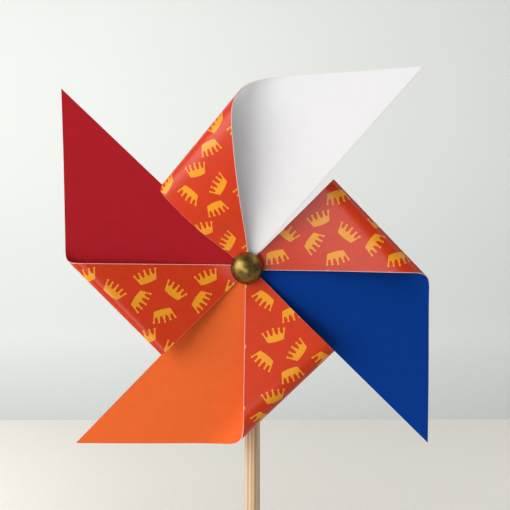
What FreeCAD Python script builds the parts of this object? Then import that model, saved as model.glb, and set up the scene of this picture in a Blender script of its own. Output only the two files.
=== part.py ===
"""Paper pinwheel on a wooden stick, in millimetres.

The origin is the centre of the stick's foot, +Z runs up the stick and the wheel faces -Y.
The wheel is one square sheet of card, slit along its diagonals. Each quarter is one node: a vane
whose outer corner is curled to the front and pinned at the centre.
"""
import FreeCAD, Part
import math
import os

Vector = FreeCAD.Vector

# Stick
STICK_DIAMETER = 8.0
STICK_LENGTH = 300.0
STICK_BEVEL = 0.6
HUB_BELOW_TOP = 12.0

# Sheet
SHEET_SIDE = 180.0
CARD = 0.35
SLIT = 0.2
PIN_HOLE_DIAMETER = 1.7
CORNER_TO_HOLE = 3.4
HOLE_BEARING = 22.5     # degrees from the slit edge to the line from the corner to its hole
CORNER_TRIM = 0.9
SHEET_OFF_X = -0.3      # the centre of the sheet sits this far from the pin,
SHEET_OFF_Z = 0.9       # as in a sheet pinned by hand
LAYER_PITCH = 0.5
SETTLE_FROM = 24.0      # between these distances from the folded corner the card
SETTLE_TO = 6.0         # bends to lie flat against the stack
FLARE = 10.0            # degrees: the bends are wider at the sheet's side than at the slit
FLARE_REACH = 60.0      # mm from the bend over which the straight lines come parallel again
FAN_START = 0.15        # shares of the half diagonal between which the remaining lean builds up
FAN_LENGTH = 0.5

# Hub
PIN_DIAMETER = 1.2
PIN_POINT = 2.5
PIN_DEPTH_IN_STICK = 6.5
BEAD_DIAMETER = 14.0
BEAD_LENGTH = 13.0
BEAD_HOLE_DIAMETER = 1.36
REAR_WASHER_DIAMETER = 6.0
REAR_WASHER_THICKNESS = 0.8
FRONT_WASHER_DIAMETER = 5.4
FRONT_WASHER_THICKNESS = 1.3
WASHER_HOLE_DIAMETER = 1.36
CAP_DIAMETER = 16.0
CAP_HEIGHT = 5.2
CAP_WALL = 0.7
RUNNING_GAP = 0.15
SHEET_GAP = 0.45        # behind the sheet, as its quarters lean back a little
STACK_SLACK = 1.6      # room for the springy stack of corners in front of the sheet

# How each vane is curled. Angles are in degrees.
#   turn         which quarter it is: 0 is the upper one, and they go anticlockwise seen from the front
#   layer        place of its pinned corner in the stack, counted from the sheet
#   forward      tilt of the vane about its leading edge, towards the front
#   twist        tilt of its leading edge towards the front
#   swing        rotation about the hub, clockwise seen from the front
#   bend_half    half the length of card that the bend takes, in mm
#   before       gentle curl between the hub and the bend
#   after        gentle curl between the bend and the pinned corner
VANES = {
    "white_vane": dict(turn=0, layer=4, forward=-8.3, twist=16.5, swing=-0.6, bend_half=14.2,
                       before=3.8, after=22.4),
    "red_vane": dict(turn=90, layer=2, forward=4.2, twist=1.6, swing=-1.7, bend_half=6.5,
                     before=5.0, after=-0.6),
    "orange_vane": dict(turn=180, layer=3, forward=-1.1, twist=0.9, swing=-1.1, bend_half=14.5,
                        before=-3.6, after=-1.0),
    "blue_vane": dict(turn=270, layer=1, forward=-2.6, twist=-4.8, swing=-0.4, bend_half=10.8,
                      before=-4.9, after=-8.3),
}

# Derived sizes and places
HALF_DIAGONAL = SHEET_SIDE / math.sqrt(2)
HUB_Z = STICK_LENGTH - HUB_BELOW_TOP
STICK_R = STICK_DIAMETER / 2
BEAD_BACK_Y = -(STICK_R + RUNNING_GAP)
BEAD_FRONT_Y = BEAD_BACK_Y - BEAD_LENGTH
REAR_WASHER_BACK_Y = BEAD_FRONT_Y - RUNNING_GAP
REAR_WASHER_FRONT_Y = REAR_WASHER_BACK_Y - REAR_WASHER_THICKNESS
SHEET_Y = REAR_WASHER_FRONT_Y - SHEET_GAP - CARD / 2
STACK_FRONT_Y = SHEET_Y - LAYER_PITCH * len(VANES) - CARD / 2
FRONT_WASHER_BACK_Y = STACK_FRONT_Y - STACK_SLACK
CAP_RIM_Y = FRONT_WASHER_BACK_Y - FRONT_WASHER_THICKNESS
CAP_APEX_Y = CAP_RIM_Y - CAP_HEIGHT

STEPS = 96          # steps along a vane's slit edge
STRETCHES = 12      # faces that each side of a vane is made of, end to end

# Newton's method for the bend: place in mm, size and fan in radians
CLOSE_ENOUGH = 1e-6
MOST_ROUNDS = 30
NUDGE = [0.01, 0.001, 0.001]
MOST_CHANGE = [4.0, 0.2, 0.05]


def turned(vector, axis, angle):
    """vector turned by angle, in radians, about the unit vector axis."""
    along = axis * axis.dot(vector)
    return vector * math.cos(angle) + axis.cross(vector) * math.sin(angle) + along * (1 - math.cos(angle))


def hump(place, centre, half_width):
    """A smooth bump with unit area, zero beyond half_width from its centre."""
    offset = (place - centre) / half_width
    if abs(offset) >= 1:
        return 0.0
    return (1 + math.cos(math.pi * offset)) / (2 * half_width)


def hump_left(place, centre, half_width):
    """The part of a hump's area that lies beyond a place within it."""
    offset = (place - centre) / half_width
    return (1 - offset) / 2 - math.sin(math.pi * offset) / (2 * math.pi)


def lean_angle(place, bend_at, fan):
    """How far the straight lines of the curl lean from the leading edge's direction, in radians."""
    share = min(max((place / HALF_DIAGONAL - FAN_START) / FAN_LENGTH, 0.0), 1.0)
    offset = math.pi * min(max((place - bend_at) / FLARE_REACH, -1.0), 1.0)
    flare = math.radians(FLARE) * math.sin(offset) * (1 + math.cos(offset)) / 2
    return fan * share * share * (3 - 2 * share) + flare


def curl(shape, bend_at, bend, fan):
    """Bend the flat quarter as card bends, without stretching it.

    Its slit edge is followed from the hub to the folded corner. At each step the card is straight
    along one line, the ruling. Returns a list of (place along the edge, point on it, direction of the
    ruling, length of the ruling, unit normal).
    """
    along = Vector(-1, 0, 1).normalize()
    across = Vector(1, 0, 1).normalize()
    normal = Vector(0, -1, 0)
    leading_edge = Vector(across)
    along = turned(along, leading_edge, math.radians(shape["forward"]))
    normal = turned(normal, leading_edge, math.radians(shape["forward"]))
    slit_edge = Vector(along)
    across = turned(across, slit_edge, -math.radians(shape["twist"]))
    normal = turned(normal, slit_edge, -math.radians(shape["twist"]))
    axis = Vector(0, 1, 0)
    along, across, normal = (turned(v, axis, math.radians(shape["swing"])) for v in (along, across, normal))

    point = Vector(0, 0, 0)
    step = (HALF_DIAGONAL - CORNER_TRIM) / STEPS
    gentle = HALF_DIAGONAL / 4
    settle_at = HALF_DIAGONAL - (SETTLE_FROM + SETTLE_TO) / 2
    settle_half = (SETTLE_FROM - SETTLE_TO) / 2
    settle = None
    stations = []
    for index in range(STEPS + 1):
        place = index * step
        lean = lean_angle(place, bend_at, fan)
        ruling = across * math.cos(lean) + along * math.sin(lean)
        length = (HALF_DIAGONAL - place) / (math.sin(lean) + math.cos(lean))
        stations.append((place, Vector(point), ruling, length, Vector(normal)))
        middle = place + step / 2
        curvature = bend * hump(middle, bend_at, shape["bend_half"])
        curvature += math.radians(shape["before"]) * hump(middle, gentle, gentle)
        curvature += math.radians(shape["after"]) * hump(middle, 3 * gentle, gentle)
        if settle is None and middle > settle_at - settle_half:
            left_over = math.radians(shape["after"]) * hump_left(middle, 3 * gentle, gentle)
            settle = -math.asin(along.y) - left_over
        if settle is not None:
            curvature += settle * hump(middle, settle_at, settle_half)
        turn = ruling * (curvature * step / math.cos(lean_angle(middle, bend_at, fan)))
        angle = turn.Length
        if angle > 0:
            turn = turn.normalize()
            point = point + turned(along, turn, angle / 2) * step
            along, across, normal = (turned(v, turn, angle) for v in (along, across, normal))
        else:
            point = point + along * step
    return stations


def pinned_point(stations, bend_at, fan):
    """Where the hole near the folded corner ends up."""
    place = HALF_DIAGONAL - CORNER_TO_HOLE * math.cos(math.radians(HOLE_BEARING))
    across = CORNER_TO_HOLE * math.sin(math.radians(HOLE_BEARING))
    before = None
    for station in stations:
        lean = lean_angle(station[0], bend_at, fan)
        gap = station[0] + across * math.tan(lean) - place
        spot = station[1] + station[2] * (across / math.cos(lean))
        if gap >= 0:
            share = gap / (gap - before[0])
            return spot + (before[1] - spot) * share
        before = (gap, spot)
    return spot


def closed_curl(shape):
    """The curl whose pinned corner lies on the pin, at its own place in the stack.

    The place and size of the bend and the fan of the rulings are found by Newton's method.
    """
    pin = turned(Vector(-SHEET_OFF_X, 0, -SHEET_OFF_Z), Vector(0, 1, 0), math.radians(shape["turn"]))
    wanted = pin + Vector(0, -shape["layer"] * LAYER_PITCH, 0)

    def miss_of(values):
        return pinned_point(curl(shape, *values), values[0], values[2]) - wanted

    unknown = [HALF_DIAGONAL / 2 - 1, math.pi, 0.0]
    for _ in range(MOST_ROUNDS):
        miss = miss_of(unknown)
        if miss.Length < CLOSE_ENOUGH:
            break
        columns = []
        for index, small in enumerate(NUDGE):
            trial = list(unknown)
            trial[index] += small
            columns.append((miss_of(trial) - miss) / small)
        whole = columns[0].dot(columns[1].cross(columns[2]))
        change = [
            miss.dot(columns[1].cross(columns[2])) / whole,
            miss.dot(columns[2].cross(columns[0])) / whole,
            miss.dot(columns[0].cross(columns[1])) / whole,
        ]
        unknown = [u - max(-m, min(m, c)) for u, c, m in zip(unknown, change, MOST_CHANGE)]
    print("bend at %.2f mm, %.1f deg, fan %.2f deg, closes to %.4f mm"
          % (unknown[0], math.degrees(unknown[1]), math.degrees(unknown[2]), miss.Length))
    return curl(shape, *unknown)


def smooth_edges(points):
    """A spline through the points, as STRETCHES edges end to end. Equal counts give matching rulings."""
    spline = Part.BSplineCurve()
    spline.interpolate(Points=points, Parameters=[index / (len(points) - 1) for index in range(len(points))])
    edges = []
    for index in range(STRETCHES):
        stretch = spline.copy()
        stretch.segment(index / STRETCHES, (index + 1) / STRETCHES)
        edges.append(stretch.toShape())
    return edges


def ruled(edge, other):
    """The face of straight lines between two edges that run the same way."""
    return Part.makeRuledSurface(edge, other, 1)


def thin_solid(stations):
    """The card between the slit edge and the far ends of the rulings, as a closed solid."""
    inner, outer = {}, {}
    for side in (-1, 1):
        inner[side] = [p + ruling * (SLIT / 2) + n * (side * CARD / 2) for _, p, ruling, _, n in stations]
        outer[side] = [p + ruling * length + n * (side * CARD / 2) for _, p, ruling, length, n in stations]
    near = {side: smooth_edges(inner[side]) for side in inner}
    far = {side: smooth_edges(outer[side]) for side in outer}
    faces = []
    for index in range(STRETCHES):
        faces += [ruled(near[side][index], far[side][index]) for side in near]
        faces += [ruled(edges[-1][index], edges[1][index]) for edges in (near, far)]
    for end in (0, -1):
        lines = [Part.makeLine(inner[side][end], outer[side][end]) for side in inner]
        faces.append(ruled(lines[0], lines[1]))
    shell = Part.Shell(faces)
    shell.sewShape()
    solid = Part.Solid(shell)
    if solid.Volume < 0:
        solid.reverse()
    return solid


def make_vane(shape):
    """One quarter of the sheet, curled, with its share of the hub hole."""
    stations = closed_curl(shape)
    # The first ruling is the other slit's edge, so it starts half a slit later.
    shift = stations[0][4].cross(stations[0][2]).normalize()
    if shift.dot(stations[1][1] - stations[0][1]) < 0:
        shift = shift * -1
    first = stations[0]
    stations[0] = (first[0], first[1] + shift * (SLIT / 2), first[2], first[3] - SLIT / 2, first[4])
    vane = thin_solid(stations)
    vane.rotate(Vector(0, 0, 0), Vector(0, -1, 0), shape["turn"])
    vane.translate(Vector(SHEET_OFF_X, SHEET_Y, HUB_Z + SHEET_OFF_Z))
    drill_length = BEAD_LENGTH + CAP_HEIGHT
    vane = vane.cut(Part.makeCylinder(PIN_HOLE_DIAMETER / 2, drill_length,
                                      Vector(0, SHEET_Y + drill_length / 2, HUB_Z), Vector(0, -1, 0)))
    return max(vane.Solids, key=lambda solid: solid.Volume)


def ring(outer_diameter, hole_diameter, back_y, thickness):
    """A flat ring on the hub's axis whose back face is at back_y."""
    start = Vector(0, back_y, HUB_Z)
    forward = Vector(0, -1, 0)
    disc = Part.makeCylinder(outer_diameter / 2, thickness, start, forward)
    hole = Part.makeCylinder(hole_diameter / 2, thickness, start, forward)
    return disc.cut(hole)


def make_stick():
    """Dowel with bevelled ends and a blind hole for the pin."""
    stick = Part.makeCylinder(STICK_R, STICK_LENGTH)
    rims = [e for e in stick.Edges if isinstance(e.Curve, Part.Circle)]
    stick = stick.makeChamfer(STICK_BEVEL, rims)
    return stick.cut(make_hub_pin())


def make_hub_pin():
    """Pointed nail shank from inside the cap to inside the stick."""
    point_y = -STICK_R + PIN_DEPTH_IN_STICK
    head_y = CAP_APEX_Y + CAP_WALL
    shank_back_y = point_y - PIN_POINT
    backward = Vector(0, 1, 0)
    shank = Part.makeCylinder(PIN_DIAMETER / 2, shank_back_y - head_y, Vector(0, head_y, HUB_Z), backward)
    tip = Part.makeCone(PIN_DIAMETER / 2, PIN_DIAMETER / 12, PIN_POINT,
                        Vector(0, shank_back_y, HUB_Z), backward)
    return shank.fuse(tip).removeSplitter()


def dome_profile(radius, height, rim_y):
    """Half outline of a spherical cap: its rim point, a point on the arc and its apex."""
    sphere = (radius * radius + height * height) / (2 * height)
    centre_y = rim_y - height + sphere
    half_angle = math.asin(radius / sphere) / 2
    mid = Vector(sphere * math.sin(half_angle), centre_y - sphere * math.cos(half_angle), 0)
    return Vector(radius, rim_y, 0), mid, Vector(0, rim_y - height, 0)


def make_hub_cap():
    """Hollow domed nail head, open at the back."""
    rim, mid, apex = dome_profile(CAP_DIAMETER / 2, CAP_HEIGHT, CAP_RIM_Y)
    rim_in, mid_in, apex_in = dome_profile(CAP_DIAMETER / 2 - CAP_WALL, CAP_HEIGHT - CAP_WALL, CAP_RIM_Y)
    outline = Part.Wire([
        Part.Arc(rim, mid, apex).toShape(),
        Part.makeLine(apex, apex_in),
        Part.Arc(apex_in, mid_in, rim_in).toShape(),
        Part.makeLine(rim_in, rim),
    ])
    cap = Part.Face(outline).revolve(Vector(0, 0, 0), Vector(0, 1, 0), 360)
    cap.translate(Vector(0, 0, HUB_Z))
    return cap.cut(make_hub_pin())


def make_spacer_bead():
    """Round wooden bead with small flats around its hole."""
    middle = Vector(0, BEAD_BACK_Y - BEAD_LENGTH / 2, HUB_Z)
    ball = Part.makeSphere(BEAD_DIAMETER / 2, middle)
    return ball.common(ring(BEAD_DIAMETER, BEAD_HOLE_DIAMETER, BEAD_BACK_Y, BEAD_LENGTH))


def main():
    os.makedirs("parts", exist_ok=True)
    parts = {
        "stick": make_stick(),
        "hub_pin": make_hub_pin(),
        "hub_cap": make_hub_cap(),
        "front_washer": ring(FRONT_WASHER_DIAMETER, WASHER_HOLE_DIAMETER, FRONT_WASHER_BACK_Y,
                             FRONT_WASHER_THICKNESS),
        "rear_washer": ring(REAR_WASHER_DIAMETER, WASHER_HOLE_DIAMETER, REAR_WASHER_BACK_Y,
                            REAR_WASHER_THICKNESS),
        "spacer_bead": make_spacer_bead(),
    }
    for name, shape in VANES.items():
        parts[name] = make_vane(shape)
    for name, solid in parts.items():
        box = solid.BoundBox
        print("%-13s valid %s volume %9.2f  x %7.2f..%7.2f  y %7.2f..%7.2f  z %7.2f..%7.2f" % (
            name, solid.isValid(), solid.Volume, box.XMin, box.XMax, box.YMin, box.YMax, box.ZMin, box.ZMax))
        solid.exportStep("parts/%s.step" % name)


main()
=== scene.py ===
"""Looks of the paper pinwheel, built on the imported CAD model.

Lengths are in metres, apart from those of the flat sheet and its print, which are in millimetres.
"""
import math

import bmesh
import bpy
import numpy as np
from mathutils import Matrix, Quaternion, Vector
from mathutils.geometry import delaunay_2d_cdt


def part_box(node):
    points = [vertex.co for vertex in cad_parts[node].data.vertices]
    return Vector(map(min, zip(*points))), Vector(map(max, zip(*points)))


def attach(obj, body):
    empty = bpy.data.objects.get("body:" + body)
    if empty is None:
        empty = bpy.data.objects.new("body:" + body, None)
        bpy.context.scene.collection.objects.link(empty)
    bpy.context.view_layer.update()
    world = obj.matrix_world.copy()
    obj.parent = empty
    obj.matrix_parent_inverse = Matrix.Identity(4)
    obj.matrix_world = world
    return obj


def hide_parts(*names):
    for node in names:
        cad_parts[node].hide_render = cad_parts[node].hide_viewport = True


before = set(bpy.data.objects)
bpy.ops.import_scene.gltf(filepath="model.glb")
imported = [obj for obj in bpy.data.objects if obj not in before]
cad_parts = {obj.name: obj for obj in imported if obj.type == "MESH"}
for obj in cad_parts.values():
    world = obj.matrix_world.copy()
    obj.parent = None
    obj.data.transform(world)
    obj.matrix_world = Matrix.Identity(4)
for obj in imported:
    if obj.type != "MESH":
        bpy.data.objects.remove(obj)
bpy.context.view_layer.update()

MM = 0.001

# ---------------------------------------------------------------- sizes, from the frame where it knows them
CAP_LOW, CAP_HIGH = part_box("hub_cap")
HUB = (CAP_LOW + CAP_HIGH) / 2
CAP_RADIUS = (CAP_HIGH.x - CAP_LOW.x) / 2
STICK_LOW, STICK_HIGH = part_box("stick")
STICK_RADIUS = STICK_HIGH.x
BEAD_LOW, BEAD_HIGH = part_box("spacer_bead")
REAR_WASHER_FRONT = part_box("rear_washer")[0].y
CAP_WALL = 0.7 * MM
STICK_BEVEL = 0.6 * MM
BEAD_HOLE_RADIUS = 0.68 * MM

# The sheet, in millimetres, as the CAD has it
SHEET_SIDE = 180.0
CARD = 0.35
SLIT = 0.2
CORNER_TO_HOLE = 3.4
HOLE_BEARING = math.radians(22.5)
SHEET_OFF = (-0.3, 0.9)
CORNER_TRIM = 0.9
HOLE_RADIUS = 0.85
LAYER_PITCH = 0.5
SETTLE_FROM, SETTLE_TO = 24.0, 6.0
FLARE, FLARE_REACH = math.radians(10), 60.0
FAN_START, FAN_LENGTH = 0.15, 0.5
SHEET_GAP = 0.45
HALF_DIAGONAL = SHEET_SIDE / math.sqrt(2)
SHEET_Y = REAR_WASHER_FRONT - (SHEET_GAP + CARD / 2) * MM

# How each vane is curled: the CAD's own figures, in degrees and millimetres
VANES = {
    "white": dict(turn=0, layer=4, forward=-8.3, twist=16.5, swing=-0.6,
                  bend_half=14.2, before=3.8, after=22.4),
    "red": dict(turn=90, layer=2, forward=4.2, twist=1.6, swing=-1.7,
                bend_half=6.5, before=5.0, after=-0.6),
    "orange": dict(turn=180, layer=3, forward=-1.1, twist=0.9, swing=-1.1,
                   bend_half=14.5, before=-3.6, after=-1.0),
    "blue": dict(turn=270, layer=1, forward=-2.6, twist=-4.8, swing=-0.4,
                 bend_half=10.8, before=-4.9, after=-8.3),
}
STEPS = 240             # steps along a vane's slit edge
PLACING_ROUNDS = 60     # rounds that find the straight line of the curl through a flat place

# Solving a curl for its bend's place, its bend and its fan: when to stop, trial and largest changes
CLOSE_ENOUGH = 1e-5
MOST_ROUNDS = 30
NUDGE = (0.01, 0.001, 0.001)
MOST_CHANGE = (4.0, 0.2, 0.05)

# The mesh of the flat quarter, in millimetres
EDGE_SPACING = 0.9
BEND_SPACING, PLAIN_SPACING, ACROSS_SPACING = 0.7, 2.2, 2.0
PLAIN, GROUND, CROWN, CORE = range(4)

# The crown print, in millimetres. It lies sideways: its across is the sheet's up, and its up is the
# sheet's right. A square tile holds four crowns, each (across, up, turned by degrees).
TILE = 29.6
TILE_START = (13.6, 24.2)
CROWNS = ((0.0, 0.0, 15), (11.2, -7.3, 56), (-5.4, -12.4, 142), (8.6, -19.2, 202))
CROWN_SCALE = 0.92
# Along the outer edges, and hardly along the slits, the print is worn off over a thin line
WORN_SLIT, WORN_OUTER = 0.04, 0.2
# How far the print is out of step on a quarter, (across, up)
PRINT_SLIP = {"white": (-3.9, -1.0), "red": (0, 0), "orange": (0, 0), "blue": (0, 0)}

# The camera: its turn to the right of the wheel's axis and its rise, how far it is from the nail head,
# and how far aside and down of the head its middle points
CAMERA_YAW, CAMERA_PITCH = math.radians(7.0), math.radians(5.0)
CAMERA_DISTANCE = 0.42
CAMERA_ASIDE, CAMERA_DOWN = math.radians(-0.565), math.radians(0.8973)
LENS_MM, SENSOR_MM = 60.847, 36.0
HEAD_BEFORE_SHEET = 6.3 * MM

# The stage, square to the camera: how far the table and the wall lie from the stick and how far they reach
TABLE_FRONT, TABLE_EDGE, TABLE_HALF = -0.3, 0.775, 2.0
WALL_AWAY, WALL_HALF, WALL_LOW, WALL_TOP = 1.5, 3.0, -1.5, 3.0

# Colours, as the eye sees them (sRGB, 0 to 255)
COLOURS = {
    "white": (240, 238, 240),
    "red": (174, 26, 36),
    "blue": (0, 58, 144),
    "orange": (238, 106, 46),
    "print_ground": (210, 52, 0),
    "print_crown": (240, 158, 24),
    "card_core": (244, 214, 204),
}


def linear(rgb):
    """An sRGB colour in 0 to 255 as linear RGBA."""
    parts = [c / 255 for c in rgb]
    return [c / 12.92 if c <= 0.04045 else ((c + 0.055) / 1.055) ** 2.4 for c in parts] + [1.0]


# ---------------------------------------------------------------- the curl of a vane
def turned(vector, axis, angle):
    """The vector turned about an axis through the origin."""
    return Quaternion(axis, angle) @ vector


def hump(place, centre, half_width):
    """A smooth bump with unit area, zero beyond half_width from its centre."""
    offset = (place - centre) / half_width
    return (1 + math.cos(math.pi * offset)) / (2 * half_width) if abs(offset) < 1 else 0.0


def hump_left(place, centre, half_width):
    """The part of a hump's area that lies beyond a place within it."""
    offset = (place - centre) / half_width
    return (1 - offset) / 2 - math.sin(math.pi * offset) / (2 * math.pi)


def lean_angle(place, bend_at, fan):
    """How far the straight lines of the curl lean from the leading edge's direction. Takes arrays too."""
    share = np.clip((place / HALF_DIAGONAL - FAN_START) / FAN_LENGTH, 0.0, 1.0)
    offset = math.pi * np.clip((place - bend_at) / FLARE_REACH, -1.0, 1.0)
    return fan * share * share * (3 - 2 * share) + FLARE * np.sin(offset) * (1 + np.cos(offset)) / 2


def curl(shape, bend_at, bend, fan):
    """Follow the vane's slit edge from the hub to the folded corner, bending it as card bends.

    Returns arrays of points on the edge, ruling directions and unit normals, one row per step.
    """
    along = Vector((-1, 0, 1)).normalized()
    across = Vector((1, 0, 1)).normalized()
    normal = Vector((0, -1, 0))
    leading_edge = across.copy()
    along = turned(along, leading_edge, math.radians(shape["forward"]))
    normal = turned(normal, leading_edge, math.radians(shape["forward"]))
    slit_edge = along.copy()
    across = turned(across, slit_edge, -math.radians(shape["twist"]))
    normal = turned(normal, slit_edge, -math.radians(shape["twist"]))
    swing = math.radians(shape["swing"])
    along, across, normal = (turned(v, Vector((0, 1, 0)), swing) for v in (along, across, normal))

    point = Vector((0, 0, 0))
    step = (HALF_DIAGONAL - CORNER_TRIM) / STEPS
    gentle = HALF_DIAGONAL / 4
    settle_at = HALF_DIAGONAL - (SETTLE_FROM + SETTLE_TO) / 2
    settle_half = (SETTLE_FROM - SETTLE_TO) / 2
    settle = None
    points, rulings, normals = [], [], []
    for index in range(STEPS + 1):
        place = index * step
        lean = float(lean_angle(place, bend_at, fan))
        ruling = across * math.cos(lean) + along * math.sin(lean)
        points.append(point.copy())
        rulings.append(ruling)
        normals.append(normal.copy())
        middle = place + step / 2
        curvature = bend * hump(middle, bend_at, shape["bend_half"])
        curvature += math.radians(shape["before"]) * hump(middle, gentle, gentle)
        curvature += math.radians(shape["after"]) * hump(middle, 3 * gentle, gentle)
        if settle is None and middle > settle_at - settle_half:
            left_over = math.radians(shape["after"]) * hump_left(middle, 3 * gentle, gentle)
            settle = -math.asin(along.y) - left_over
        if settle is not None:
            curvature += settle * hump(middle, settle_at, settle_half)
        angle = curvature * step / math.cos(float(lean_angle(middle, bend_at, fan)))
        point = point + turned(along, ruling, angle / 2) * step
        along, across, normal = (turned(v, ruling, angle) for v in (along, across, normal))
    return tuple(np.array([tuple(v) for v in rows]) for rows in (points, rulings, normals))


def on_card(curve, bend_at, fan, along, across):
    """Points and normals of the curled card at flat places: along the slit edge, and across from it."""
    points, rulings, normals = curve
    along, across = np.asarray(along, float), np.asarray(across, float)
    place = along.copy()
    for _ in range(PLACING_ROUNDS):
        place = along - across * np.tan(lean_angle(place, bend_at, fan))
    where = np.clip(place / (HALF_DIAGONAL - CORNER_TRIM) * STEPS, 0, STEPS)
    low = np.minimum(where.astype(int), STEPS - 1)
    share = (where - low)[:, None]

    def between(rows):
        return rows[low] * (1 - share) + rows[low + 1] * share

    normal = between(normals)
    normal /= np.linalg.norm(normal, axis=1)[:, None]
    reach = (across / np.cos(lean_angle(place, bend_at, fan)))[:, None]
    return between(points) + between(rulings) * reach, normal


def corner_hole():
    """Flat place of the hole near the corner that is folded over."""
    return (HALF_DIAGONAL - CORNER_TO_HOLE * math.cos(HOLE_BEARING), CORNER_TO_HOLE * math.sin(HOLE_BEARING))


def pin_place(turn):
    """Where the pin is, (right, up) from the sheet's centre, for a vane brought back by its turn."""
    angle = math.radians(turn)
    right, up = -SHEET_OFF[0], -SHEET_OFF[1]
    return math.cos(angle) * right + math.sin(angle) * up, -math.sin(angle) * right + math.cos(angle) * up


def closed_curl(shape):
    """The curl whose pinned corner lies on the pin, in its place in the stack, by Newton's method."""
    pin = pin_place(shape["turn"])
    wanted = np.array([pin[0], -shape["layer"] * LAYER_PITCH, pin[1]])
    hole_along, hole_across = corner_hole()

    def miss(values):
        point, _ = on_card(curl(shape, *values), values[0], values[2], [hole_along], [hole_across])
        return point[0] - wanted

    unknown = np.array([HALF_DIAGONAL / 2 - 1, math.pi, 0.0])
    most = np.array(MOST_CHANGE)
    for _ in range(MOST_ROUNDS):
        now = miss(unknown)
        if np.linalg.norm(now) < CLOSE_ENOUGH:
            break
        columns = []
        for index, small in enumerate(NUDGE):
            trial = unknown.copy()
            trial[index] += small
            columns.append((miss(trial) - now) / small)
        unknown = unknown - np.clip(np.linalg.solve(np.array(columns).T, now), -most, most)
    return curl(shape, *unknown), unknown


# ---------------------------------------------------------------- the crown print
def arc_points(centre, radius, start, end, count):
    """Points on an ellipse arc, angles in degrees; radius is (across, up)."""
    angles = np.radians(np.linspace(start, end, count))
    return [(centre[0] + radius[0] * math.cos(a), centre[1] + radius[1] * math.sin(a)) for a in angles]


def crown_outline():
    """One crown in millimetres, upright: a curved band with five points that end in small balls."""
    tips = [(5.9, 2.2), (3.1, 2.7), (0.0, 3.2), (-3.1, 2.7), (-5.9, 2.2)]
    ball, half_neck = 0.62, 0.34
    spread_from, spread = 14.0, 0.8
    valley_height, valley_radius, valley_pull = 0.7, (0.72, 0.9), 0.94
    outline = arc_points((0, 3.0), (12.0, 6.6), 248, 292, 9)
    neck = math.degrees(math.asin(half_neck / ball))
    for index, (x, y) in enumerate(tips):
        foot = 270 + math.degrees(math.atan2(-x, spread_from)) * spread
        outline += arc_points((x, y), (ball, ball), foot + neck, foot + 360 - neck, 9)
        if index + 1 < len(tips):
            middle = (x + tips[index + 1][0]) / 2 * valley_pull
            outline += arc_points((middle, valley_height), valley_radius, 0, -180, 7)
    return np.array(outline) * CROWN_SCALE


def placed_crowns(slip):
    """Every crown of the sheet as an outline in print coordinates."""
    base = crown_outline()
    reach = int(SHEET_SIDE / 2 / TILE) + 2
    start = np.array(TILE_START) + slip
    placed = []
    for column in range(-reach, reach + 1):
        for row in range(-reach, reach + 1):
            for across, up, turn in CROWNS:
                angle = math.radians(turn)
                spin = np.array([[math.cos(angle), -math.sin(angle)], [math.sin(angle), math.cos(angle)]])
                place = start + (across + column * TILE, up + row * TILE)
                placed.append(base @ spin.T + place)
    return placed


# ---------------------------------------------------------------- mesh of a vane
def flat_to_print(along, across, turn):
    """Print coordinates of a flat place on the vane with that turn."""
    x = (-along + across) / math.sqrt(2)
    z = (along + across) / math.sqrt(2)
    angle = math.radians(turn)
    return math.sin(angle) * x + math.cos(angle) * z, math.cos(angle) * x - math.sin(angle) * z


def print_to_flat(outline, turn):
    """The reverse of flat_to_print, for an array of print coordinates."""
    angle = math.radians(turn)
    up, right = outline[:, 0], outline[:, 1]
    x = math.cos(angle) * right + math.sin(angle) * up
    z = -math.sin(angle) * right + math.cos(angle) * up
    return np.stack([(z - x) / math.sqrt(2), (z + x) / math.sqrt(2)], 1)


def outline_through(corners):
    """Places about EDGE_SPACING apart on the closed outline through the corners."""
    outline = []
    for index, corner in enumerate(corners):
        start, end = np.array(corner), np.array(corners[(index + 1) % len(corners)])
        count = max(1, round(math.dist(start, end) / EDGE_SPACING))
        outline += [tuple(start + (end - start) * i / count) for i in range(count)]
    return outline


def flat_outlines(turn, slip):
    """Closed outlines on the flat quarter: its edge, its two holes, where the ink stops, and the crowns."""
    near, far = SLIT / 2, HALF_DIAGONAL - CORNER_TRIM
    edge = [(near, near), (far - near, near), (far - near, CORNER_TRIM), (near, HALF_DIAGONAL - near)]
    right, up = pin_place(turn)
    centre_hole = ((up - right) / math.sqrt(2), (up + right) / math.sqrt(2))
    holes = [arc_points(centre, (HOLE_RADIUS,) * 2, 0, 345, 24) for centre in (centre_hole, corner_hole())]
    inked, limit = near + WORN_SLIT, far - near - WORN_OUTER
    slope = HALF_DIAGONAL - near - math.sqrt(2) * WORN_OUTER
    ink = [(inked, inked), (limit, inked), (limit, slope - limit), (inked, slope - inked)]
    crowns = []
    for outline in placed_crowns(slip):
        flat = print_to_flat(outline, turn)
        if (flat.min(1) > 0).any() and (flat.sum(1) < HALF_DIAGONAL).any():
            crowns.append(flat)
    return [outline_through(edge)] + holes + [outline_through(ink)] + crowns


def print_slot(source):
    """The material slot of a triangle on the printed side, from the outlines that it lies in."""
    ink = 3
    if ink not in source:
        return CORE
    return CROWN if max(source) > ink else GROUND


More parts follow.
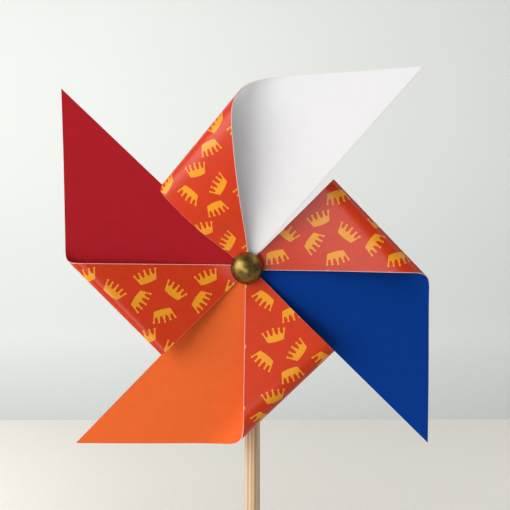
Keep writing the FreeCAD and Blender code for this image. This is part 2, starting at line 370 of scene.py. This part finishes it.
def flat_mesh(turn, bend_at, bend_half, slip):
    """Triangles of the flat quarter, cut along the crowns. Returns places, triangles and print slots."""
    places, loops = [], []
    for loop in flat_outlines(turn, slip):
        loops.append(list(range(len(places), len(places) + len(loop))))
        places += [Vector(p) for p in loop]
    along = 1.0
    while along < HALF_DIAGONAL - CORNER_TRIM - 1:
        in_bend = abs(along - bend_at) < bend_half + 3 or along > HALF_DIAGONAL - SETTLE_FROM - 2
        places += [Vector((along, t)) for t in np.arange(1.0, HALF_DIAGONAL - along - 0.8, ACROSS_SPACING)]
        along += BEND_SPACING if in_bend else PLAIN_SPACING
    made, _, triangles, _, _, sources = delaunay_2d_cdt(places, [], loops, 1, 1e-5, True)
    edge, holes = 0, (1, 2)
    kept = [(triangle, source) for triangle, source in zip(triangles, sources)
            if edge in source and not any(hole in source for hole in holes)]
    slots = [print_slot(source) for _, source in kept]
    return np.array([tuple(p) for p in made]), [triangle for triangle, _ in kept], slots


def make_mesh(name, points, faces, slots, materials, normals=None, uvs=None):
    """An object from arrays, with a material slot per face."""
    mesh = bpy.data.meshes.new(name)
    mesh.from_pydata([tuple(p) for p in points], [], faces)
    for material in materials:
        mesh.materials.append(material)
    mesh.polygons.foreach_set("material_index", slots)
    mesh.polygons.foreach_set("use_smooth", [True] * len(mesh.polygons))
    if uvs is not None:
        layer = mesh.uv_layers.new(name="print")
        loop_vertex = np.zeros(len(mesh.loops), int)
        mesh.loops.foreach_get("vertex_index", loop_vertex)
        layer.data.foreach_set("uv", np.asarray(uvs)[loop_vertex].ravel())
    mesh.update()
    if normals is not None:
        mesh.normals_split_custom_set_from_vertices([tuple(n) for n in normals])
    thing = bpy.data.objects.new(name, mesh)
    bpy.context.scene.collection.objects.link(thing)
    return thing


def rim_edges(triangles):
    """Edges that belong to one triangle only, in that triangle's direction."""
    edges = [edge for a, b, c in triangles for edge in ((a, b), (b, c), (c, a))]
    known = set(edges)
    return [(a, b) for a, b in edges if (b, a) not in known]


def unit(vector):
    """The vector at length one, or as it is when it has no length."""
    return vector / (np.linalg.norm(vector) + 1e-12)


def edge_normals(rim, used, points, normals):
    """Normals of the card's cut edge at its corners, pointing out of the card in its own plane."""
    outward = {v: np.zeros(3) for v in used}
    for a, b in rim:
        side = unit(np.cross(points[b] - points[a], normals[a]))
        outward[a] = outward[a] + side
        outward[b] = outward[b] + side
    return np.array([unit(outward[v]) for v in used])


def facing_out(triangles, points, normals):
    """The triangles in the order that makes them face along the normals."""
    first, second, third = (points[[t[i] for t in triangles]] for i in range(3))
    facing = np.cross(second - first, third - first)
    if (facing * normals[[t[0] for t in triangles]]).sum() < 0:
        return [tuple(reversed(t)) for t in triangles]
    return triangles


def make_vane(colour, shape, materials):
    """One quarter of the sheet: its plain face, its printed face and the cut edge of the card between."""
    curve, (bend_at, _, fan) = closed_curl(shape)
    flat, triangles, inks = flat_mesh(shape["turn"], bend_at, shape["bend_half"], PRINT_SLIP[colour])
    points, normals = on_card(curve, bend_at, fan, flat[:, 0], flat[:, 1])
    triangles = facing_out(triangles, points, normals)
    angle = math.radians(shape["turn"])
    cos, sin = math.cos(angle), math.sin(angle)
    spin = np.array([[cos, 0, -sin], [0, 1, 0], [sin, 0, cos]])
    points, normals = points @ spin.T, normals @ spin.T
    centre = np.array([HUB.x + SHEET_OFF[0] * MM, SHEET_Y, HUB.z + SHEET_OFF[1] * MM])
    plain_side = points * MM + normals * (CARD / 2 * MM) + centre
    print_side = points * MM - normals * (CARD / 2 * MM) + centre
    count = len(points)
    rim = rim_edges(triangles)
    rim_used = sorted({v for edge in rim for v in edge})
    rim_low = {v: 2 * count + i for i, v in enumerate(rim_used)}
    rim_high = {v: 2 * count + len(rim_used) + i for i, v in enumerate(rim_used)}
    all_points = np.concatenate([plain_side, print_side, print_side[rim_used], plain_side[rim_used]])
    faces = [tuple(t) for t in triangles]
    faces += [tuple(count + v for v in reversed(t)) for t in triangles]
    faces += [(rim_low[a], rim_low[b], rim_high[b], rim_high[a]) for a, b in rim]
    rim_slots = [GROUND if max(flat[a][1], flat[b][1]) < SLIT else CORE for a, b in rim]
    slots = [PLAIN] * len(triangles) + inks + rim_slots
    uvs = np.stack(flat_to_print(flat[:, 0], flat[:, 1], shape["turn"]), 1)
    all_uvs = np.concatenate([uvs, uvs, uvs[rim_used], uvs[rim_used]])
    rim_normals = edge_normals(rim, rim_used, plain_side, normals)
    all_normals = np.concatenate([normals, -normals, rim_normals, rim_normals])
    vane = make_mesh(colour + "_vane_card", all_points, faces, slots, materials, all_normals, all_uvs)
    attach(vane, "wheel")
    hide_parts(colour + "_vane")


# ---------------------------------------------------------------- materials
class Nodes:
    """Short forms for wiring a material's nodes."""

    def __init__(self, name):
        self.material = bpy.data.materials.new(name)
        self.material.use_nodes = True
        self.tree = self.material.node_tree
        self.shader = self.tree.nodes["Principled BSDF"]

    def add(self, kind, inputs=(), **settings):
        node = self.tree.nodes.new(kind)
        for key, value in settings.items():
            setattr(node, key, value)
        for key, value in dict(inputs).items():
            if isinstance(value, bpy.types.NodeSocket):
                self.tree.links.new(value, node.inputs[key])
            else:
                node.inputs[key].default_value = value
        return node

    def math(self, operation, first, second):
        return self.add("ShaderNodeMath", {0: first, 1: second}, operation=operation).outputs[0]

    def noise(self, vector, scale, detail, roughness):
        return self.add("ShaderNodeTexNoise", {"Vector": vector, "Scale": scale, "Detail": detail,
                                               "Roughness": roughness}).outputs["Fac"]

    def span(self, value, low, high, to_low=0.0, to_high=1.0):
        return self.add("ShaderNodeMapRange", {"Value": value, "From Min": low, "From Max": high,
                                               "To Min": to_low, "To Max": to_high}).outputs[0]

    def mix(self, factor, first, second):
        node = self.add("ShaderNodeMix", {"Factor": factor}, data_type="RGBA")
        for socket, value in ((node.inputs[6], first), (node.inputs[7], second)):
            if isinstance(value, bpy.types.NodeSocket):
                self.tree.links.new(value, socket)
            else:
                socket.default_value = value
        return node.outputs[2]

    def scaled(self, vector, scale):
        return self.add("ShaderNodeMapping", {"Vector": vector, "Scale": scale}).outputs[0]

    def bump(self, height, strength, distance, normal=None):
        inputs = {"Height": height, "Strength": strength, "Distance": distance}
        if normal is not None:
            inputs["Normal"] = normal
        return self.add("ShaderNodeBump", inputs).outputs[0]

    def set(self, **values):
        for key, value in values.items():
            socket = self.shader.inputs[key.replace("_", " ")]
            if isinstance(value, bpy.types.NodeSocket):
                self.tree.links.new(value, socket)
            else:
                socket.default_value = value


def card_material(name, colour, roughness, specular, ink_depth, tooth, see_through=0.0):
    """Printed card: a little unevenness in the ink, a faint laid texture and fine tooth.

    see_through is how much light soaks into the card, as it does where there is no ink.
    """
    n = Nodes(name)
    place = n.add("ShaderNodeUVMap", uv_map="print").outputs[0]
    mottle = n.noise(place, 0.16, 4, 0.6)
    grain = n.noise(place, 3.4, 3, 0.7)
    lines = n.noise(n.scaled(place, (5.2, 0.22, 1)), 1.0, 2, 0.6)
    cross = n.noise(n.scaled(place, (0.22, 5.2, 1)), 1.0, 2, 0.6)
    weave = n.math("ADD", lines, cross)
    ground = linear(colour)
    light = [min(1.0, c * (1 + ink_depth)) for c in ground[:3]] + [1]
    dark = [c * (1 - ink_depth) for c in ground[:3]] + [1]
    tone = n.math("ADD", n.math("MULTIPLY", mottle, 0.55), n.math("MULTIPLY", weave, 0.225))
    colour_out = n.mix(n.span(tone, 0.36, 0.64), dark, light)
    n.set(Base_Color=colour_out, Specular_IOR_Level=specular)
    n.set(Roughness=n.span(grain, 0.3, 0.7, roughness - 0.04, roughness + 0.06))
    fine = n.bump(grain, 0.22 * tooth, 0.00006)
    n.set(Normal=n.bump(weave, 0.35 * tooth, 0.00005, fine))
    if see_through:
        n.set(Subsurface_Weight=see_through, Subsurface_Radius=(1, 1, 1), Subsurface_Scale=1.5 * MM)
    return n.material


def core_material():
    """Cut edge of the card: pale, fibrous, stained by ink."""
    n = Nodes("card_core")
    place = n.add("ShaderNodeUVMap", uv_map="print").outputs[0]
    fibres = n.noise(place, 2.6, 4, 0.7)
    base = linear(COLOURS["card_core"])
    stained = [base[0] * 0.9, base[1] * 0.74, base[2] * 0.7, 1]
    n.set(Base_Color=n.mix(n.span(fibres, 0.35, 0.65), stained, base), Roughness=0.85, Specular_IOR_Level=0.2)
    n.set(Normal=n.bump(fibres, 0.3, 0.00005))
    return n.material


def wood_material(name, pale, dark, along, pores):
    """Bare wood with its grain along one axis ("Z" or "Y")."""
    n = Nodes(name)
    place = n.add("ShaderNodeTexCoord").outputs["Object"]
    stretch = {"Z": (420, 420, 9), "Y": (260, 26, 260)}[along]
    fine_stretch = {"Z": (2600, 2600, 60), "Y": (1500, 160, 1500)}[along]
    wide = n.noise(n.scaled(place, stretch), 1.0, 4, 0.6)
    fine = n.noise(n.scaled(place, fine_stretch), 1.0, 3, 0.65)
    rings = n.add("ShaderNodeTexWave", {"Vector": n.scaled(place, stretch), "Scale": 0.35, "Distortion": 5.0,
                                        "Detail": 2.0}, wave_type="BANDS", bands_direction="X").outputs["Fac"]
    tone = n.math("ADD", n.math("MULTIPLY", wide, 0.6), n.math("MULTIPLY", rings, 0.4))
    body = n.mix(n.span(tone, 0.3, 0.72), linear(dark), linear(pale))
    streak = [c * 0.62 for c in linear(dark)[:3]] + [1]
    n.set(Base_Color=n.mix(n.span(fine, 0.62, 0.8, 0.0, pores), body, streak))
    n.set(Roughness=n.span(fine, 0.3, 0.7, 0.5, 0.66), Specular_IOR_Level=0.35)
    n.set(Normal=n.bump(fine, 0.35, 0.00008))
    return n.material


def brass_material():
    """Antiqued brass: unevenly tarnished, with a gently hammered skin."""
    n = Nodes("antique_brass")
    place = n.add("ShaderNodeTexCoord").outputs["Object"]
    patches = n.noise(place, 420, 4, 0.6)
    fine = n.noise(place, 2600, 3, 0.6)
    tone = n.math("ADD", n.math("MULTIPLY", patches, 0.7), n.math("MULTIPLY", fine, 0.3))
    tarnish = n.span(tone, 0.38, 0.62)
    n.set(Base_Color=n.mix(tarnish, linear((110, 88, 44)), linear((152, 128, 70))), Metallic=1.0)
    n.set(Roughness=n.span(fine, 0.3, 0.7, 0.26, 0.40))
    hammered = n.bump(n.noise(place, 300, 1, 0.4), 0.30, 0.0004)
    n.set(Normal=n.bump(fine, 0.12, 0.00008, hammered))
    return n.material


def plain_material(name, colour, metallic, roughness, scale):
    """A small hidden part: one colour with fine variation."""
    n = Nodes(name)
    place = n.add("ShaderNodeTexCoord").outputs["Object"]
    fine = n.noise(place, scale, 3, 0.6)
    base = linear(colour)
    low = [c * 0.86 for c in base[:3]] + [1]
    n.set(Base_Color=n.mix(n.span(fine, 0.35, 0.65), low, base), Metallic=metallic)
    n.set(Roughness=n.span(fine, 0.3, 0.7, roughness - 0.05, roughness + 0.05))
    return n.material


def stage_material(name, colour, scale, strength):
    """Pale floor or wall with a barely visible texture."""
    n = Nodes(name)
    place = n.add("ShaderNodeTexCoord").outputs["Object"]
    soft = n.noise(place, scale, 5, 0.65)
    base = linear(colour)
    low = [c * (1 - strength) for c in base[:3]] + [1]
    n.set(Base_Color=n.mix(n.span(soft, 0.35, 0.65), low, base), Roughness=0.9, Specular_IOR_Level=0.1)
    return n.material


# ---------------------------------------------------------------- turned pieces
def lathe(name, profile, centre, axis, segments, material, body, node):
    """A solid of revolution that rides on a body and replaces a node. Its profile is a closed outline of
    (radius, place along the axis).
    """
    rings, points, faces = len(profile), [], []
    for index in range(segments):
        angle = 2 * math.pi * index / segments
        for radius, place in profile:
            a, b = radius * math.cos(angle), radius * math.sin(angle)
            offset = Vector((a, place, b)) if axis == "Y" else Vector((a, b, place))
            points.append(Vector(centre) + offset)
    for index in range(segments):
        here, there = index * rings, (index + 1) % segments * rings
        for ring in range(rings):
            after = (ring + 1) % rings
            faces.append((here + ring, here + after, there + after, there + ring))
    thing = make_mesh(name, points, faces, [0] * len(faces), [material])
    mesh = thing.data
    work = bmesh.new()
    work.from_mesh(mesh)
    bmesh.ops.remove_doubles(work, verts=work.verts, dist=1e-7)
    bmesh.ops.recalc_face_normals(work, faces=work.faces)
    work.to_mesh(mesh)
    work.free()
    mesh.set_sharp_from_angle(angle=math.radians(40))
    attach(thing, body)
    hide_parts(node)
    return thing


def dome_profile():
    """Section of the hollow nail head, from its outer apex round the rolled rim to the inner apex."""
    height = CAP_HIGH.y - CAP_LOW.y
    outer, inner = [], []
    for inset, side in ((0.0, outer), (CAP_WALL, inner)):
        radius, rise = CAP_RADIUS - inset, height - inset
        sphere = (radius ** 2 + rise ** 2) / (2 * rise)
        for angle in np.linspace(0, math.asin(radius / sphere), 29):
            place = CAP_LOW.y + height - rise + sphere * (1 - math.cos(angle))
            side.append((sphere * math.sin(angle), place))
    across, along = CAP_WALL / 2, CAP_WALL * 0.3
    middle = (CAP_RADIUS - across, CAP_HIGH.y - along)
    start = math.degrees(0.4)
    rim = arc_points(middle, (across, along), start, 180 - start, 7)
    return outer[:-1] + rim + inner[::-1][1:]


def make_cap(brass):
    """The domed nail head."""
    cap = lathe("hub_cap_dome", dome_profile(), (HUB.x, 0, HUB.z), "Y", 96, brass, "stick", "hub_cap")


def make_stick(dowel):
    """The dowel, with its ends a little rounded."""
    length, bevel = STICK_HIGH.z - STICK_LOW.z, (STICK_BEVEL, STICK_BEVEL)
    inside, end_room = STICK_RADIUS - STICK_BEVEL, 10 * MM
    profile = [(0, 0)]
    profile += arc_points((inside, STICK_BEVEL), bevel, -90, 0, 6)
    profile += [(STICK_RADIUS, z) for z in np.linspace(end_room, length - end_room, 60)]
    profile += arc_points((inside, length - STICK_BEVEL), bevel, 0, 90, 6)
    profile += [(0, length)]
    stick = lathe("stick_dowel", profile, (0, 0, STICK_LOW.z), "Z", 64, dowel, "stick", "stick")


def make_bead(wood):
    """The wooden ball behind the wheel, with flats round its hole."""
    radius, half = (BEAD_HIGH.x - BEAD_LOW.x) / 2, (BEAD_HIGH.y - BEAD_LOW.y) / 2
    middle = (BEAD_HIGH.y + BEAD_LOW.y) / 2
    flat = math.sqrt(radius ** 2 - half ** 2)
    rounding, flat_edge = math.degrees(0.02), flat - 0.4 * MM
    start = math.degrees(math.asin(flat / radius)) + rounding
    profile = [(BEAD_HOLE_RADIUS, -half), (flat_edge, -half)]
    profile += arc_points((0, 0), (radius, radius), start - 90, 90 - start, 41)
    profile += [(flat_edge, half), (BEAD_HOLE_RADIUS, half)]
    ball = lathe("spacer_bead_ball", profile, (HUB.x, middle, HUB.z), "Y", 72, wood, "bead", "spacer_bead")


# ---------------------------------------------------------------- stage, light and camera
def make_plane(name, corners, material):
    """A four-cornered piece of the stage."""
    plane = make_mesh(name, corners, [(0, 1, 2, 3)], [0], [material])


def make_stage():
    """A table that ends behind the object, with a wall beyond it, both square to the camera."""
    table = stage_material("table_cloth", (236, 232, 224), 260, 0.05)
    wall = stage_material("wall_paint", (236, 238, 234), 3, 0.01)
    facing = Vector((-math.sin(CAMERA_YAW), math.cos(CAMERA_YAW), 0))
    side = Vector((math.cos(CAMERA_YAW), math.sin(CAMERA_YAW), 0))
    up = Vector((0, 0, 1))

    def at(across, away, height):
        return side * across + facing * away + up * height

    make_plane("table_top", [at(-TABLE_HALF, TABLE_FRONT, 0), at(TABLE_HALF, TABLE_FRONT, 0),
                             at(TABLE_HALF, TABLE_EDGE, 0), at(-TABLE_HALF, TABLE_EDGE, 0)], table)
    make_plane("back_wall", [at(-WALL_HALF, WALL_AWAY, WALL_LOW), at(WALL_HALF, WALL_AWAY, WALL_LOW),
                             at(WALL_HALF, WALL_AWAY, WALL_TOP), at(-WALL_HALF, WALL_AWAY, WALL_TOP)], wall)


def add_light(name, place, target, size, power, colour=(1, 1, 1)):
    """A soft rectangular lamp that points at its target. size is (width, height), power is in watts."""
    data = bpy.data.lights.new(name, "AREA")
    data.shape = "RECTANGLE"
    data.size, data.size_y = size
    data.energy = power
    data.color = colour
    light = bpy.data.objects.new(name, data)
    light.location = place
    light.rotation_mode = "QUATERNION"
    light.rotation_quaternion = (Vector(target) - Vector(place)).to_track_quat("-Z", "Y")
    bpy.context.scene.collection.objects.link(light)


def make_light():
    """A window to the left, light from low in front, a soft fill, and light for the wall."""
    world = bpy.data.worlds.new("soft_world")
    world.use_nodes = True
    background = world.node_tree.nodes["Background"]
    background.inputs["Color"].default_value = (0.93, 0.95, 1.0, 1)
    background.inputs["Strength"].default_value = 0.24
    bpy.context.scene.world = world
    add_light("window", (-1.30, -1.05, 0.75), (0, 0, 0.27), (1.9, 1.7), 34, (1.0, 0.99, 0.975))
    add_light("low_bounce", (-0.22, -1.2, -0.02), (0, 0, 0.28), (0.5, 0.35), 2.4)
    add_light("wall_wash", (-0.75, 0.2, 0.35), (-0.55, 1.5, 0.35), (0.8, 1.0), 7.0)
    add_light("wall_wash_right", (0.65, 0.2, 0.35), (0.5, 1.5, 0.35), (0.6, 1.0), 3.2)
    add_light("fill", (0.9, 0.0, 1.3), (0.2, 0.4, 0.1), (0.9, 0.9), 3.0)


def make_camera():
    """Looks at the nail head from slightly right of and above it."""
    level = math.cos(CAMERA_PITCH)
    back = Vector((math.sin(CAMERA_YAW) * level, -math.cos(CAMERA_YAW) * level, math.sin(CAMERA_PITCH)))
    data = bpy.data.cameras.new("camera")
    data.sensor_width = SENSOR_MM
    data.lens = LENS_MM
    camera = bpy.data.objects.new("camera", data)
    camera.location = Vector((HUB.x, SHEET_Y - HEAD_BEFORE_SHEET, HUB.z)) + back * CAMERA_DISTANCE
    camera.rotation_mode = "QUATERNION"
    facing = (-back).to_track_quat("-Z", "Y")
    aside, down = Quaternion((0, 1, 0), CAMERA_ASIDE), Quaternion((1, 0, 0), CAMERA_DOWN)
    camera.rotation_quaternion = facing @ aside @ down
    bpy.context.scene.collection.objects.link(camera)
    bpy.context.scene.camera = camera


def plain_card(colour):
    """The matte side of a quarter. White is bare card, evenly toned, and light soaks into it."""
    bare = colour == "white"
    return card_material(colour + "_print", COLOURS[colour], roughness=0.7, specular=0.08,
                         ink_depth=0.012 if bare else 0.04, tooth=1.0, see_through=0.7 if bare else 0.0)


def printed_card(name):
    """The glossier side with the crowns: its ground or its crowns."""
    return card_material("crown_" + name, COLOURS[name], roughness=0.30, specular=0.42,
                         ink_depth=0.06, tooth=0.6)


def make_carried_over():
    """Materials for the pieces that keep their CAD shapes."""
    steel = plain_material("pin_steel", (170, 168, 164), 1.0, 0.35, 900)
    fibre = plain_material("washer_fibre", (226, 222, 212), 0.0, 0.7, 1500)
    for node, material in (("hub_pin", steel), ("front_washer", fibre), ("rear_washer", fibre)):
        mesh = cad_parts[node].data
        mesh.materials.clear()
        mesh.materials.append(material)


def main():
    ground, crown, core = printed_card("print_ground"), printed_card("print_crown"), core_material()
    for colour, shape in VANES.items():
        make_vane(colour, shape, [plain_card(colour), ground, crown, core])
    make_cap(brass_material())
    make_stick(wood_material("dowel_wood", (234, 208, 176), (196, 158, 112), "Z", 0.35))
    make_bead(wood_material("bead_wood", (228, 200, 160), (200, 164, 118), "Y", 0.3))
    make_carried_over()
    make_stage()
    make_light()
    make_camera()
    bpy.context.scene.view_settings.view_transform = "Standard"


main()
